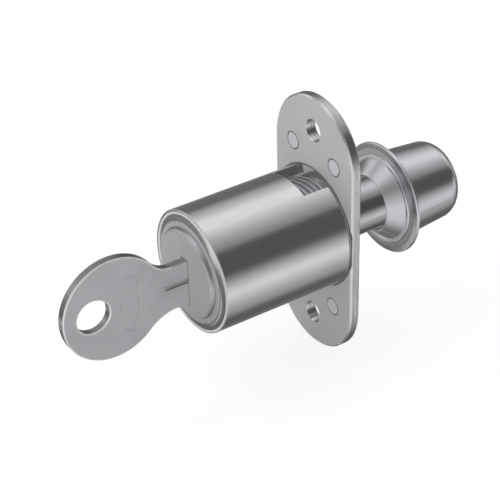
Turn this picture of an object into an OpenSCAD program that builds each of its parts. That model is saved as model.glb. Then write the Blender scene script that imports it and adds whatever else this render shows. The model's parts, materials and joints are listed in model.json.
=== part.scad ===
// Push lock for overlapping sliding doors.
// The lock's axis is the Y axis. The flange's front face lies at y = 0, the key side is -Y,
// and the strike cup of the other door is on the +Y side. Sizes are in millimetres.

/* [Barrel] */
// Outer diameter of the barrel, for a round hole in the front door
barrel_d = 22.2; // [21.6:0.1:24]
// Length of the barrel in front of the flange
barrel_l = 25.7; // [25:0.1:32]
// Wall of the barrel around the sliding cylinder
barrel_wall = 1.85; // [1.6:0.05:2.1]
// Radial width of the sloping rim at the barrel's mouth
rim_w = 1.25; // [0.6:0.05:1.3]
// Depth of the sloping rim along the barrel
rim_depth = 0.8; // [0.4:0.05:1.2]
// Length of the window in the barrel wall, in front of the flange
window_l = 5.3; // [3:0.1:6]
// Angle that the window covers, in degrees
window_angle = 50; // [30:1:60]

/* [Flange] */
// Width of the flange, which has fully round ends
flange_w = 22.2; // [22:0.1:26]
// Height of the flange
flange_h = 49.8; // [49:0.1:60]
// Thickness of the flange, the back plate included
flange_t = 2; // [1.8:0.1:3]
// Chamfer along the flange's edges
flange_chamfer = 0.3; // [0.1:0.05:0.5]
// Distance between the two screw holes
screw_spacing = 37.5; // [37:0.1:40]
// Diameter of the screw holes
screw_hole_d = 4.2; // [3:0.1:4.6]
// Thickness of the back plate that lies in the flange's rear
back_plate_t = 1; // [0.8:0.05:1.2]
// Width of the back plate
back_plate_w = 16.6; // [16:0.1:18]
// Height of the back plate
back_plate_h = 33; // [32.8:0.1:33.4]
// Diameter of the flush rivets
rivet_d = 3.2; // [2.4:0.1:3.4]
// Distance between the rivets across the flange
rivet_across = 11.8; // [11.4:0.1:12.2]
// Distance between the rivets along the flange
rivet_along = 28.5; // [28:0.1:28.8]

/* [Sliding cylinder] */
// Travel of the cylinder from locked to released
travel = 10.7; // [8:0.1:11]
// Room in front of the flange for the pressed spring
rear_gap = 4.2; // [4:0.1:4.5]
// How far the cylinder's face stands proud of the barrel's rim
sleeve_proud = 0.1; // [0:0.05:0.4]
// Width of the flat ring around the plug's head
face_ring_w = 1.25; // [1.1:0.05:1.5]
// Thickness of the plug's head
plug_head_t = 2.2; // [1.6:0.1:2.6]
// How far the plug's face stands proud of the barrel's rim
plug_proud = 0.9; // [0.5:0.05:1.2]
// Wall of the cylinder around the plug's body
cylinder_wall = 2.45; // [2.35:0.05:2.55]
// Diameter of the plug's tail
tail_d = 7; // [6:0.1:7.4]
// Thickness of the web that the plug's tail passes through
web_t = 1; // [0.8:0.05:1.2]
// Diameter of the plunger
plunger_d = 9.525; // [8:0.1:11]
// How far the plunger's tip stands behind the flange
plunger_out = 15.9; // [14:0.1:16.2]
// Thickness of the plunger's head
plunger_head_t = 1.7; // [1.6:0.05:2]
// Diameter of the cross pin through the plunger's head
cross_pin_d = 0.9; // [0.7:0.05:1]
// Diameter of the guide pin in the barrel wall
guide_pin_d = 2; // [1.6:0.1:2.2]

/* [Return spring] */
// Diameter of the spring's wire
spring_wire_d = 0.6; // [0.5:0.05:0.65]
// Number of turns
spring_turns = 4.25; // [3.5:0.25:4.25]

/* [Latch] */
// How far the latch dog steps out of the cylinder
dog_throw = 1.4; // [1.2:0.05:1.45]
// Width of the latch dog
dog_w = 6; // [5:0.1:6.4]
// Thickness of the latch dog
dog_t = 1.8; // [1.6:0.05:1.9]
// Diameter of the cam pin that drives the dog
cam_pin_d = 1.4; // [1.2:0.05:1.5]
// Thickness of the plug's clip
clip_t = 0.6; // [0.4:0.05:0.7]

/* [Wafers] */
// Thickness of a wafer
wafer_t = 0.8; // [0.6:0.05:0.9]
// Distance from one wafer to the next
wafer_pitch = 2.4; // [2.2:0.05:2.4]
// Plug's wall beside a wafer
wafer_side_wall = 3.7; // [3.6:0.05:3.9]
// How far the wafers drop into the cylinder's groove when the key is out
wafer_drop = 0.9; // [0.7:0.05:1]

/* [Key] */
// Diameter of the key's round bow
bow_d = 19.2; // [17:0.1:20]
// Distance from the plug's face to the middle of the bow
bow_reach = 14.3; // [14:0.1:20]
// How far the middle of the bow lies below the lock's axis
bow_low = 0.9; // [0:0.05:1]
// Diameter of the key ring's hole
ring_hole_d = 6.2; // [4:0.1:7]
// Distance from the middle of the bow out to the ring's hole
ring_hole_out = 3.9; // [3.5:0.1:5]
// Thickness of the key
key_t = 1.7; // [1.4:0.05:1.8]
// Plug's wall above the key's blade
keyway_roof = 3.8; // [3.75:0.05:4]
// Plug's wall below the key's blade
keyway_floor = 1.2; // [1.15:0.05:1.35]
// Length of the blade inside the plug
blade_in = 15.2; // [14.6:0.1:15.4]
// Radius of the hollow between bow and blade on the upper side
neck_r_top = 4.5; // [3:0.1:8]
// Radius of the hollow between bow and blade on the lower side
neck_r_bottom = 8; // [4:0.1:10]
// Width of the milled groove in the blade
groove_w = 1; // [0.8:0.05:1.2]
// Depth of the milled groove in the blade
groove_deep = 0.45; // [0.3:0.05:0.5]
// How far the milled groove runs out in front of the plug
groove_out = 5; // [3:0.1:6]

/* [Strike] */
// Distance from the flange's rear face to the strike's flange
strike_gap = 12.9; // [12.5:0.1:13.5]
// Outer diameter of the strike's flange
strike_flange_d = 20.8; // [19:0.1:24]
// Outer diameter of the cup just behind its flange
strike_body_d = 16; // [15:0.1:17]
// Outer diameter of the cup where its end starts to round
strike_end_d = 14.7; // [14:0.1:14.9]
// Overall length of the cup
strike_l = 13.7; // [13.2:0.1:16]
// Thickness of the strike's sheet metal
strike_t = 0.8; // [0.6:0.05:1]
// Outer radius of the cup's rounded end
strike_round = 3.2; // [1.6:0.1:3.6]
// How far the guide cone rises from the strike's flange towards the lock
cone_rise = 2.7; // [2:0.1:3.5]
// Outer diameter of the guide cone at its foot
cone_foot_d = 15.2; // [14.6:0.1:15.4]
// Outer diameter of the bead around the cone's foot
cone_bead_d = 16.8; // [16.4:0.1:17.2]

/* [Hidden] */
$fn = 96;

// Clearances: a running fit, a fixed fit, and the gap beside flat moving pieces
run_fit = 0.05;
fixed_fit = 0.01;
side_gap = 0.1;
// How far a cut runs past the surface that it opens
past = 1;

// Radii of the main round pieces
barrel_r = barrel_d / 2;
bore_r = barrel_r - barrel_wall;
sleeve_r = bore_r - run_fit;
plug_head_r = sleeve_r - face_ring_w;
plug_r = sleeve_r - cylinder_wall;
tail_r = tail_d / 2;
chamber_r = plug_r + run_fit;
plunger_r = plunger_d / 2;

// Places along the axis, from the flange forwards to the key's side
sleeve_rear_y = -rear_gap;
head_front_y = sleeve_rear_y - plunger_head_t;
dog_rear_y = head_front_y - run_fit;
dog_front_y = dog_rear_y - dog_t;
tail_end_y = dog_front_y - run_fit;
tail_stub = clip_t + 0.6;
web_rear_y = tail_end_y - tail_stub;
web_front_y = web_rear_y - web_t;
plug_rear_y = web_front_y - run_fit;
rim_y = -barrel_l;
sleeve_front_y = rim_y - sleeve_proud;
plug_face_y = rim_y - plug_proud;
plug_head_rear_y = plug_face_y + plug_head_t;
recess_y = flange_t - back_plate_t;
// Relief at the barrel's foot, wider than the flange's chamfer, and the groove around it in the
// flange's face, so that the front door seats flat on the flange
foot_relief = flange_chamfer + run_fit;
foot_groove_deep = 0.15;

// The guide pin sits where the sleeve's slot still ends before the sleeve's rear edge
guide_angle = 225;
guide_land = 0.9;
guide_pin_r = guide_pin_d / 2;
guide_slot_deep = 1.3;
guide_y = sleeve_rear_y - guide_land - guide_pin_r - travel;

// The cam pin turns a quarter turn, from this angle above level to as much below it
cam_angle = 45;
cam_pin_r = cam_pin_d / 2;
cam_throw = dog_throw / (2 * sin(cam_angle));
cam_pin_seat = 1.2;
dog_spring_room = 3.2;
dog_top_z = chamber_r - dog_spring_room;
dog_tip_r = sleeve_r - run_fit;
dog_bevel = 0.6;
pocket_r = dog_tip_r + dog_throw + side_gap;
dog_spring_wire_d = 0.25;
dog_spring_r = 0.6;
dog_spring_turns = 6;
dog_spring_seat = 1;

// Plug clip
clip_groove_r = tail_r - 0.5;
clip_outer_r = tail_r + 1.4;
clip_gap_angle = 100;

// Wafers: the first one lies this far behind the plug's head
wafer_count = 5;
wafer_first = 1.4;
wafer_w = 2 * (plug_r - wafer_side_wall);
wafer_tip_r = plug_r - run_fit;
wafer_slot_half = wafer_w / 2 + run_fit;
wafer_groove_r = plug_r + wafer_drop + side_gap;
// Depth of the key's cut at each wafer, from the bow's side to the tip
wafer_codes = [0.6, 1.4, 1, 1.8, 1];
// How much of a cut's depth a wafer's window moves by
code_step = 0.5;
lug_wall = 1.85;
lug_spring_in = 0.75;
lug_x = plug_r - lug_wall;
lug_low_z = 0.6;
lug_high_z = 1.6;
wafer_spring_x = lug_x - lug_spring_in;
wafer_spring_r = 0.4;
wafer_spring_wire_d = 0.2;
wafer_spring_turns = 4;

// Blade and keyway
blade_top_z = plug_r - keyway_roof;
blade_low_z = keyway_floor - plug_r;
blade_h = blade_top_z - blade_low_z;
blade_tip_y = plug_face_y + blade_in;
groove_z = blade_low_z + 0.55 * blade_h;
bow_y = plug_face_y - bow_reach;
cut_flat = 1;
cut_slope = 0.7;
tip_slope = 2.4;
// Sloping tip of the blade, as [along the axis, height], from its lower to its upper edge
blade_tip = [
    [blade_tip_y - tip_slope / 2, blade_low_z], [blade_tip_y, blade_low_z + tip_slope / 2],
    [blade_tip_y, blade_top_z - tip_slope], [blade_tip_y - tip_slope, blade_top_z]
];
neck_steps = 10;
// How far the neck's ends are sunk into the round bow
neck_sink = 0.03;
mark_h = 11;
mark_w = 3.6;
mark_line = 0.3;
mark_deep = 0.12;
mark_in = 3.1;

// Strike cup
strike_y = flange_t + strike_gap;
strike_land = 1.6;
strike_dome = 0.25;
// The guide cone: clearance around the plunger, its sheet, its bead and its skirt in the cup
cone_gap = 0.2;
cone_t = 0.6;
cone_nose = 0.25;
cone_bead_rise = 0.35;
cone_skirt = 1.8;

function wafer_y(i) = plug_head_rear_y + wafer_first + wafer_t / 2 + i * wafer_pitch;
function ring_point(r, a) = [r * cos(a), r * sin(a)];
function arc(cx, cy, r, a0, a1, steps) =
    [for (i = [0:steps]) [cx, cy] + ring_point(r, a0 + (a1 - a0) * i / steps)];

// Straight round bar along the axis
module bar_y(y0, y1, r) {
    translate([0, y0, 0]) rotate([-90, 0, 0]) cylinder(h = y1 - y0, r = r);
}

// Round bar across the axis, from the height z0 to z1
module bar_z(z0, z1, r) {
    translate([0, 0, z0]) cylinder(h = z1 - z0, r = r);
}

// Turned piece: the profile holds [radius, place along the axis]
module turned(profile) {
    rotate([-90, 0, 0]) rotate_extrude() polygon(profile);
}

// Block given by its lowest and highest corners
module block(low, high) {
    translate(low) cube(high - low);
}

// Profile of a disc with chamfered edges
function disc_profile(r, y0, y1, c) =
    [[0, y0], [r - c, y0], [r, y0 + c], [r, y1 - c], [r - c, y1], [0, y1]];

// Plate with fully round ends and chamfered edges
module round_end_plate(w, h, y0, y1, c) {
    r = w / 2;
    middle = h / 2 - r;
    half = disc_profile(r, y0, y1, c);
    for (z = [-middle, middle]) translate([0, 0, z]) turned(half);
    translate([0, 0, -middle]) linear_extrude(height = 2 * middle)
        polygon(concat(half, [for (p = half) [-p[0], y0 + y1 - p[1]]]));
}

// Outline of the back plate: round corners, hollowed around the screw holes
module back_plate_outline(grow, y0, y1) {
    corner = 2.2;
    x = back_plate_w / 2 - corner;
    z = back_plate_h / 2 - corner;
    hollow_r = screw_hole_d / 2 + 1.6;
    difference() {
        union() {
            for (sx = [-1, 1], sz = [-1, 1])
                translate([sx * x, 0, sz * z]) bar_y(y0, y1, corner + grow);
            block([-x - corner - grow, y0, -z], [x + corner + grow, y1, z]);
            block([-x, y0, -z - corner - grow], [x, y1, z + corner + grow]);
        }
        for (s = [-1, 1])
            translate([0, 0, s * screw_spacing / 2])
                bar_y(y0 - past, y1 + past, hollow_r - grow);
    }
}

// Places its child at each of the four rivets
module at_rivets() {
    for (sx = [-1, 1], sz = [-1, 1])
        translate([sx * rivet_across / 2, 0, sz * rivet_along / 2]) children();
}

// Helix of round wire along +Z from z = 0, with flat-cut ends
function coil_ring(r, wire_r, pitch, a, sides) = [
    for (k = [0:sides - 1])
        let (t = 360 * k / sides, d = r + wire_r * cos(t))
        [d * cos(a), d * sin(a), wire_r + pitch * a / 360 + wire_r * sin(t)]
];
module coil(r, wire_r, turns, pitch, sides = 6, rings_per_turn = 8) {
    rings = round(turns * rings_per_turn);
    points = [
        for (i = [0:rings]) each coil_ring(r, wire_r, pitch, 360 * turns * i / rings, sides)
    ];
    sides_list = [
        for (i = [0:rings - 1], k = [0:sides - 1])
            let (a = i * sides + k, b = i * sides + (k + 1) % sides)
            each [[a, b, b + sides], [a, b + sides, a + sides]]
    ];
    first_cap = [for (k = [1:sides - 2]) [0, k + 1, k]];
    last = rings * sides;
    last_cap = [for (k = [1:sides - 2]) [last, last + k, last + k + 1]];
    polyhedron(points = points, faces = concat(sides_list, first_cap, last_cap));
}
function coil_pitch(length, wire_r, turns) = (length - 2 * wire_r) / turns;

// Least gap of a coil to itself, measured between the ring points of neighbouring turns
function coil_gap(r, wire_r, turns, pitch, sides = 6, rings_per_turn = 8) =
    let (
        rings = round(turns * rings_per_turn),
        step = 360 * turns / rings,
        near = [
            for (i = [0:rings], j = [i + round(0.6 * rings_per_turn):1:rings])
                let (p = coil_ring(r, wire_r, pitch, i * step, sides),
                     q = coil_ring(r, wire_r, pitch, j * step, sides))
                min([for (u = p, v = q) norm(u - v)])
        ]
    )
    min(near);

// Die-cast housing: barrel and flange in one
module housing() {
    chamfer_r = barrel_r - rim_w;
    foot_r = barrel_r - foot_relief;
    color("silver") difference() {
        union() {
            round_end_plate(flange_w, flange_h, 0, flange_t, flange_chamfer);
            turned([[0, rim_y], [chamfer_r, rim_y], [barrel_r, rim_y + rim_depth],
                    [barrel_r, -foot_relief], [foot_r, 0], [foot_r, flange_t / 2], [0, flange_t / 2]]);
        }
        foot_groove(foot_r);
        bar_y(rim_y - past, recess_y, bore_r);
        back_plate_outline(fixed_fit, recess_y, flange_t + past);
        for (s = [-1, 1])
            translate([0, 0, s * screw_spacing / 2])
                bar_y(-past, flange_t + past, screw_hole_d / 2);
        at_rivets() bar_y(-past, flange_t, rivet_d / 2 + fixed_fit);
        barrel_window();
        for (y = [0, -travel]) translate([0, y, 0]) dog_pocket();
        translate([0, guide_y, 0]) rotate([0, 90 - guide_angle, 0])
            bar_z(0, barrel_r + past, guide_pin_r + fixed_fit);
    }
}

// Shallow ring around the barrel's foot, from the relief outwards
module foot_groove(foot_r) {
    outer_r = barrel_r + foot_relief;
    turned([[foot_r, foot_groove_deep], [foot_r, 0], [outer_r, -side_gap],
            [outer_r, foot_groove_deep]]);
}

// Window at the barrel's top: through the wall in front of the flange, and on as deep as
// the back plate under the barrel's own outline
module barrel_window() {
    half = window_angle / 2;
    angles = [-90 - half, -90, -90 + half];
    rotate([-90, 0, 0]) translate([0, 0, -window_l]) linear_extrude(height = window_l)
        polygon(concat([[0, 0]], [for (a = angles) ring_point(2 * barrel_r, a)]));
    intersection() {
        bar_y(-past, recess_y, barrel_r);
        rotate([-90, 0, 0]) translate([0, 0, -foot_relief / 2])
            linear_extrude(height = recess_y + past)
                polygon(concat([[0, 0]], [for (a = angles) ring_point(2 * barrel_r, a)]));
    }
}

// Pocket in the bore's wall that the latch dog steps into
module dog_pocket() {
    half = dog_w / 2 + side_gap;
    intersection() {
        block([-half, dog_front_y - side_gap, -barrel_r], [half, dog_rear_y + side_gap, 0]);
        bar_y(dog_front_y - past, dog_rear_y + past, pocket_r);
    }
}

// Steel plate in the flange's rear, which guides the plunger and holds the spring
module back_plate() {
    color("gainsboro") difference() {
        back_plate_outline(0, recess_y, flange_t);
        bar_y(recess_y - past, flange_t + past, plunger_r + run_fit);
        at_rivets() bar_y(recess_y - past, flange_t + past, rivet_d / 2 + fixed_fit);
    }
}

// Four flush rivets with broken edges
module flange_rivets() {
    edge = 0.12;
    color("lightgray") at_rivets() turned(disc_profile(rivet_d / 2, 0, flange_t, edge));
}

// Pin pressed into the barrel wall, which runs in the sleeve's slot
module guide_pin() {
    inner = sleeve_r - guide_slot_deep + side_gap;
    color("gray") translate([0, guide_y, 0]) rotate([0, 90 - guide_angle, 0])
        intersection() {
            bar_z(inner, barrel_r, guide_pin_r);
            translate([0, -guide_y, 0]) bar_y(guide_y - past * 2, guide_y + past * 2, barrel_r);
        }
}

// Return spring, pressed between the cylinder and the back plate
module return_spring() {
    wire_r = spring_wire_d / 2;
    length = rear_gap + recess_y - 2 * run_fit;
    pitch = coil_pitch(length, wire_r, spring_turns);
    r = bore_r - side_gap * 3 - wire_r;
    echo(return_spring_gap = coil_gap(r, wire_r, spring_turns, pitch));
    color("dimgray") translate([0, sleeve_rear_y + run_fit, 0]) rotate([-90, 0, 0])
        coil(r, wire_r, spring_turns, pitch);
}

// Sliding cylinder: carries the plug in front and the plunger behind
module cylinder_sleeve() {
    edge = 0.15;
    dog_half = dog_w / 2 + run_fit;
    groove_rear_y = wafer_y(wafer_count - 1) + wafer_t / 2 + side_gap;
    color("lightgray") difference() {
        turned([[0, sleeve_front_y], [sleeve_r - edge, sleeve_front_y],
                [sleeve_r, sleeve_front_y + edge], [sleeve_r, sleeve_rear_y - edge],
                [sleeve_r - edge, sleeve_rear_y], [0, sleeve_rear_y]]);
        bar_y(sleeve_front_y - past, plug_head_rear_y, plug_head_r + run_fit);
        bar_y(plug_head_rear_y - past, web_front_y, plug_r + run_fit);
        bar_y(web_front_y - past, web_rear_y + past, tail_r + run_fit);
        bar_y(web_rear_y, sleeve_rear_y + past, chamber_r);
        block([-dog_half, dog_front_y - run_fit, -sleeve_r - past],
              [dog_half, dog_rear_y + run_fit, 0]);
        for (turn = [0, 90])
            rotate([0, turn, 0]) intersection() {
                block([-wafer_slot_half - side_gap, plug_head_rear_y - past, -sleeve_r],
                      [wafer_slot_half + side_gap, groove_rear_y, 0]);
                bar_y(plug_head_rear_y - past, groove_rear_y, wafer_groove_r);
            }
        rotate([0, 90 - guide_angle, 0]) guide_slot();
        translate([0, (head_front_y + sleeve_rear_y) / 2, 0]) rotate([0, 90, 0])
            bar_z(-sleeve_r - past, sleeve_r + past, cross_pin_d / 2 + fixed_fit);
    }
}

// Slot with round ends that the guide pin runs in, drawn at the top
module guide_slot() {
    r = guide_pin_r + run_fit;
    low = sleeve_r - guide_slot_deep;
    for (y = [guide_y, guide_y + travel]) translate([0, y, 0]) bar_z(low, sleeve_r + past, r);
    block([-r, guide_y, low], [r, guide_y + travel, sleeve_r + past]);
}

// Plunger with its head in the cylinder's rear and a chamfered tip
module plunger() {
    tip_y = flange_t + plunger_out;
    tip = 0.8;
    head_r = chamber_r - fixed_fit;
    pin_y = (head_front_y + sleeve_rear_y) / 2;
    color("silver") difference() {
        turned([[0, head_front_y], [head_r, head_front_y], [head_r, sleeve_rear_y],
                [plunger_r, sleeve_rear_y], [plunger_r, tip_y - tip], [plunger_r - tip, tip_y],
                [0, tip_y]]);
        translate([0, pin_y, 0]) rotate([0, 90, 0])
            bar_z(-head_r - past, head_r + past, cross_pin_d / 2 + fixed_fit);
    }
}

// Cross pin that holds the plunger in the cylinder
module plunger_pin() {
    half = sleeve_r - 2 * side_gap;
    color("gray") translate([0, (head_front_y + sleeve_rear_y) / 2, 0]) rotate([0, 90, 0])
        bar_z(-half, half, cross_pin_d / 2);
}

// Plug: head, slotted body, and tail with the clip's groove and the cam pin's hole
module plug() {
    edge = 0.25;
    clip_y = web_rear_y + run_fit;
    color("lightgray") difference() {
        turned([[0, plug_face_y], [plug_head_r - edge, plug_face_y],
                [plug_head_r, plug_face_y + edge], [plug_head_r, plug_head_rear_y - run_fit],
                [plug_r, plug_head_rear_y - run_fit], [plug_r, plug_rear_y],
                [tail_r, plug_rear_y], [tail_r, clip_y], [clip_groove_r, clip_y],
                [clip_groove_r, clip_y + clip_t + run_fit], [tail_r, clip_y + clip_t + run_fit],
                [tail_r, tail_end_y], [0, tail_end_y]]);
        keyway();
        for (i = [0:wafer_count - 1]) translate([0, wafer_y(i), 0]) wafer_slot();
        cam_pin_place() bar_y(tail_end_y - cam_pin_seat, tail_end_y + past, cam_pin_r + fixed_fit);
    }
}

// Keyway with the ward that runs in the blade's groove
module keyway() {
    half = key_t / 2 + run_fit;
    ward_half = groove_w / 2 - side_gap;
    difference() {
        block([-half, plug_face_y - past, blade_low_z - run_fit],
              [half, blade_tip_y + side_gap, blade_top_z + run_fit]);
        block([half - groove_deep + run_fit, plug_face_y - 2 * past, groove_z - ward_half],
              [half + past, blade_tip_y + past, groove_z + ward_half]);
    }
}

// Cross slot for one wafer, with the room of its lug and the hole of its spring
module wafer_slot() {
    half_t = wafer_t / 2 + run_fit;
    block([-wafer_slot_half, -half_t, -plug_r - past], [wafer_slot_half, half_t, plug_r + past]);
    block([0, -half_t, lug_low_z - wafer_drop - side_gap],
          [lug_x + side_gap, half_t, lug_high_z + side_gap]);
    translate([wafer_spring_x, 0, 0])
        bar_z(lug_high_z, plug_r, wafer_spring_r + wafer_spring_wire_d / 2 + side_gap);
}

// Spring clip on the plug's tail
module plug_clip() {
    clip_y = web_rear_y + run_fit;
    half = clip_gap_angle / 2;
    reach = 2 * clip_outer_r;
    color("gray") difference() {
        bar_y(clip_y, clip_y + clip_t, clip_outer_r);
        bar_y(clip_y - past, clip_y + clip_t + past, clip_groove_r + fixed_fit);
        rotate([-90, 0, 0]) translate([0, 0, clip_y - past])
            linear_extrude(height = clip_t + 2 * past)
                polygon([[0, 0], ring_point(reach, -half), [reach * 2, 0], ring_point(reach, half)]);
    }
}

// Puts its child at the cam pin's place off the axis
module cam_pin_place() {
    translate([cam_throw * cos(cam_angle), 0, cam_throw * sin(cam_angle)]) children();
}

// Cam pin, pressed into the plug's tail
module cam_pin() {
    color("gray") cam_pin_place()
        bar_y(tail_end_y - cam_pin_seat + fixed_fit, dog_rear_y, cam_pin_r);
}

// Latch dog: a slide with a slot for the cam pin and a bevelled nose
module latch_dog() {
    half = dog_w / 2;
    pin_z = cam_throw * sin(cam_angle);
    slot_half_h = cam_pin_r + side_gap;
    slot_half_w = cam_throw + cam_pin_r + side_gap;
    middle_y = (dog_front_y + dog_rear_y) / 2;
    color("darkgray") difference() {
        intersection() {
            block([-half, dog_front_y, -dog_tip_r], [half, dog_rear_y, dog_top_z]);
            bar_y(dog_front_y - past, dog_rear_y + past, dog_tip_r);
        }
        block([-slot_half_w, dog_front_y - past, pin_z - slot_half_h],
              [slot_half_w, dog_rear_y + past, pin_z + slot_half_h]);
        translate([0, middle_y, 0])
            bar_z(dog_top_z - dog_spring_seat, dog_top_z + past,
                  dog_spring_r + dog_spring_wire_d / 2 + run_fit);
        translate([-half - past, dog_rear_y, -dog_tip_r]) rotate([0, 90, 0])
            linear_extrude(height = dog_w + 2 * past)
                polygon([[past, past], [past, -dog_bevel - past], [0, -dog_bevel],
                         [-dog_bevel, 0], [-dog_bevel, past]]);
    }
}

// Spring that presses the dog outwards
module dog_spring() {
    wire_r = dog_spring_wire_d / 2;
    low = dog_top_z - dog_spring_seat + run_fit;
    high = chamber_r - side_gap;
    middle_y = (dog_front_y + dog_rear_y) / 2;
    color("dimgray") translate([0, middle_y, low])
        coil(dog_spring_r, wire_r, dog_spring_turns,
             coil_pitch(high - low, wire_r, dog_spring_turns));
}

// One wafer: a plate with a window around the blade and a lug for its spring
module wafer(i) {
    window_half = key_t / 2 + side_gap;
    window_low = blade_low_z - side_gap;
    window_high = blade_top_z + wafer_drop + side_gap + code_step * (max(wafer_codes) - wafer_codes[i]);
    color("goldenrod") translate([0, wafer_y(i) - wafer_t / 2, 0]) difference() {
        union() {
            intersection() {
                block([-wafer_w / 2, 0, -plug_r], [wafer_w / 2, wafer_t, plug_r]);
                bar_y(-past, wafer_t + past, wafer_tip_r);
            }
            block([0, 0, lug_low_z], [lug_x, wafer_t, lug_high_z]);
        }
        block([-window_half, -past, window_low], [window_half, wafer_t + past, window_high]);
    }
}

// Small springs above the wafers' lugs
module wafer_springs() {
    wire_r = wafer_spring_wire_d / 2;
    outer_x = wafer_spring_x + wafer_spring_r + wire_r;
    high = sqrt(plug_r * plug_r - outer_x * outer_x);
    low = lug_high_z + run_fit;
    color("dimgray") for (i = [0:wafer_count - 1])
        translate([wafer_spring_x, wafer_y(i), low])
            coil(wafer_spring_r, wire_r, wafer_spring_turns,
                 coil_pitch(high - low, wire_r, wafer_spring_turns), 4, 6);
}

// Flat key: its outline lies in the plane of the blade
module key() {
    color("lightgray") difference() {
        translate([-key_t / 2, 0, 0]) rotate([90, 0, 90]) linear_extrude(height = key_t)
            key_outline();
        groove_run();
        bow_mark();
    }
}

// Outline of the key, as [along the axis, height]
module key_outline() {
    difference() {
        union() {
            translate([bow_y, -bow_low]) circle(d = bow_d);
            polygon(concat([[bow_y, -bow_low]], neck_arc(-1, neck_r_bottom), blade_tip,
                           reversed(neck_arc(1, neck_r_top))));
        }
        translate([bow_y - ring_hole_out, -bow_low]) circle(d = ring_hole_d);
        for (i = [0:wafer_count - 1]) translate([wafer_y(i), blade_top_z]) blade_cut(wafer_codes[i]);
    }
}

// Cut for one wafer in the blade's upper edge, with a flat floor and sloping sides
module blade_cut(deep) {
    floor_half = cut_flat / 2;
    top_half = floor_half + cut_slope * (deep + past);
    polygon([[-top_half, past], [-floor_half, -deep], [floor_half, -deep], [top_half, past]]);
}

// Hollow round between bow and blade, tangent to both, from the bow to the blade's edge.
// side is 1 on the blade's upper edge and -1 on its lower edge.
function neck_arc(side, r) =
    let (
        edge_z = side > 0 ? blade_top_z : blade_low_z,
        h = abs(edge_z + bow_low) + r,
        reach = bow_d / 2 + r,
        along = sqrt(reach * reach - h * h),
        start = 90 + acos(h / reach),
        sunk = [cos(180 - start), sin(180 - start) * side] * (bow_d / 2 - neck_sink)
    )
    concat([[bow_y, -bow_low] + sunk],
           [for (i = [1:neck_steps])
               let (a = start + (90 - start) * i / neck_steps)
               [bow_y + along + r * cos(a), edge_z + side * (r - r * sin(a))]]);
function reversed(list) = [for (i = [len(list) - 1:-1:0]) list[i]];

// Milled groove along the blade, which runs out in a slope in front of the plug
module groove_run() {
    start_y = plug_face_y - groove_out;
    floor_x = key_t / 2 - groove_deep;
    translate([0, 0, groove_z - groove_w / 2]) linear_extrude(height = groove_w)
        polygon([[key_t / 2, start_y], [floor_x, start_y + 1.6], [floor_x, blade_tip_y + past],
                 [key_t / 2 + past, blade_tip_y + past], [key_t / 2 + past, start_y]]);
}

// Plain round-ended line pressed into the bow beside the ring's hole
module bow_mark() {
    face_x = key_t / 2 - mark_deep;
    translate([face_x, bow_y + mark_in, -bow_low]) rotate([90, 0, 90])
        linear_extrude(height = past) difference() {
            round_end_shape(mark_w, mark_h);
            round_end_shape(mark_w - 2 * mark_line, mark_h - 2 * mark_line);
        }
}
module round_end_shape(w, h) {
    for (s = [-1, 1]) translate([0, s * (h - w) / 2]) circle(d = w);
    square([w, h - w], center = true);
}

// Drawn cup with a slightly domed flange, for the other door
module strike_cup() {
    body_r = strike_body_d / 2;
    end_r = strike_end_d / 2;
    flange_r = strike_flange_d / 2;
    bead_r = cone_bead_d / 2;
    y0 = strike_y;
    y1 = strike_y + strike_l;
    t = strike_t;
    edge = 0.2;
    color("silver") turned(concat(
        [[body_r - t, y0], [bead_r, y0], [(bead_r + flange_r) / 2, y0 + strike_dome / 3],
         [flange_r - edge, y0 + strike_dome], [flange_r, y0 + strike_dome + edge],
         [flange_r, y0 + t - edge / 2], [flange_r - edge / 2, y0 + t], [body_r, y0 + t],
         [body_r, y0 + t + strike_land]],
        arc(end_r - strike_round, y1 - strike_round, strike_round, 0, 90, 8),
        [[0, y1], [0, y1 - t]],
        arc(end_r - strike_round, y1 - strike_round, strike_round - t, 90, 0, 8),
        [[body_r - t, y0 + t + strike_land]]
    ));
}

// Conical guide, pressed into the cup's mouth: the plunger enters through its nose
module strike_guide() {
    nose_r = plunger_r + cone_gap;
    foot_r = cone_foot_d / 2;
    bead_r = cone_bead_d / 2 - fixed_fit;
    skirt_r = strike_body_d / 2 - strike_t - fixed_fit;
    y0 = strike_y - fixed_fit;
    top_y = y0 - cone_rise;
    color("silver") turned([
        [nose_r, top_y + cone_nose], [nose_r + cone_nose, top_y],
        [nose_r + cone_t - cone_nose, top_y], [nose_r + cone_t, top_y + cone_nose],
        [foot_r, y0 - cone_bead_rise / 2], [foot_r + cone_bead_rise / 2, y0 - cone_bead_rise],
        [bead_r - cone_bead_rise / 2, y0 - cone_bead_rise], [bead_r, y0 - cone_bead_rise / 2],
        [bead_r, y0], [skirt_r, y0], [skirt_r, y0 + cone_skirt],
        [skirt_r - cone_t, y0 + cone_skirt], [skirt_r - cone_t, y0],
        [nose_r, top_y + cone_nose + 2 * cone_t]
    ]);
}

housing();
back_plate();
flange_rivets();
guide_pin();
return_spring();
cylinder_sleeve();
plunger();
plunger_pin();
plug();
plug_clip();
cam_pin();
latch_dog();
dog_spring();
wafer(0);  // wafer_1
wafer(1);  // wafer_2
wafer(2);  // wafer_3
wafer(3);  // wafer_4
wafer(4);  // wafer_5
wafer_springs();
key();
strike_cup();
strike_guide();
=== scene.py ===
"""Scene of a sliding door lock: its finishes, wound springs, rounded edges and a studio."""
import json
import math
from typing import NamedTuple

import bmesh
import bpy
import numpy as np
from mathutils import Matrix, Vector

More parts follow.
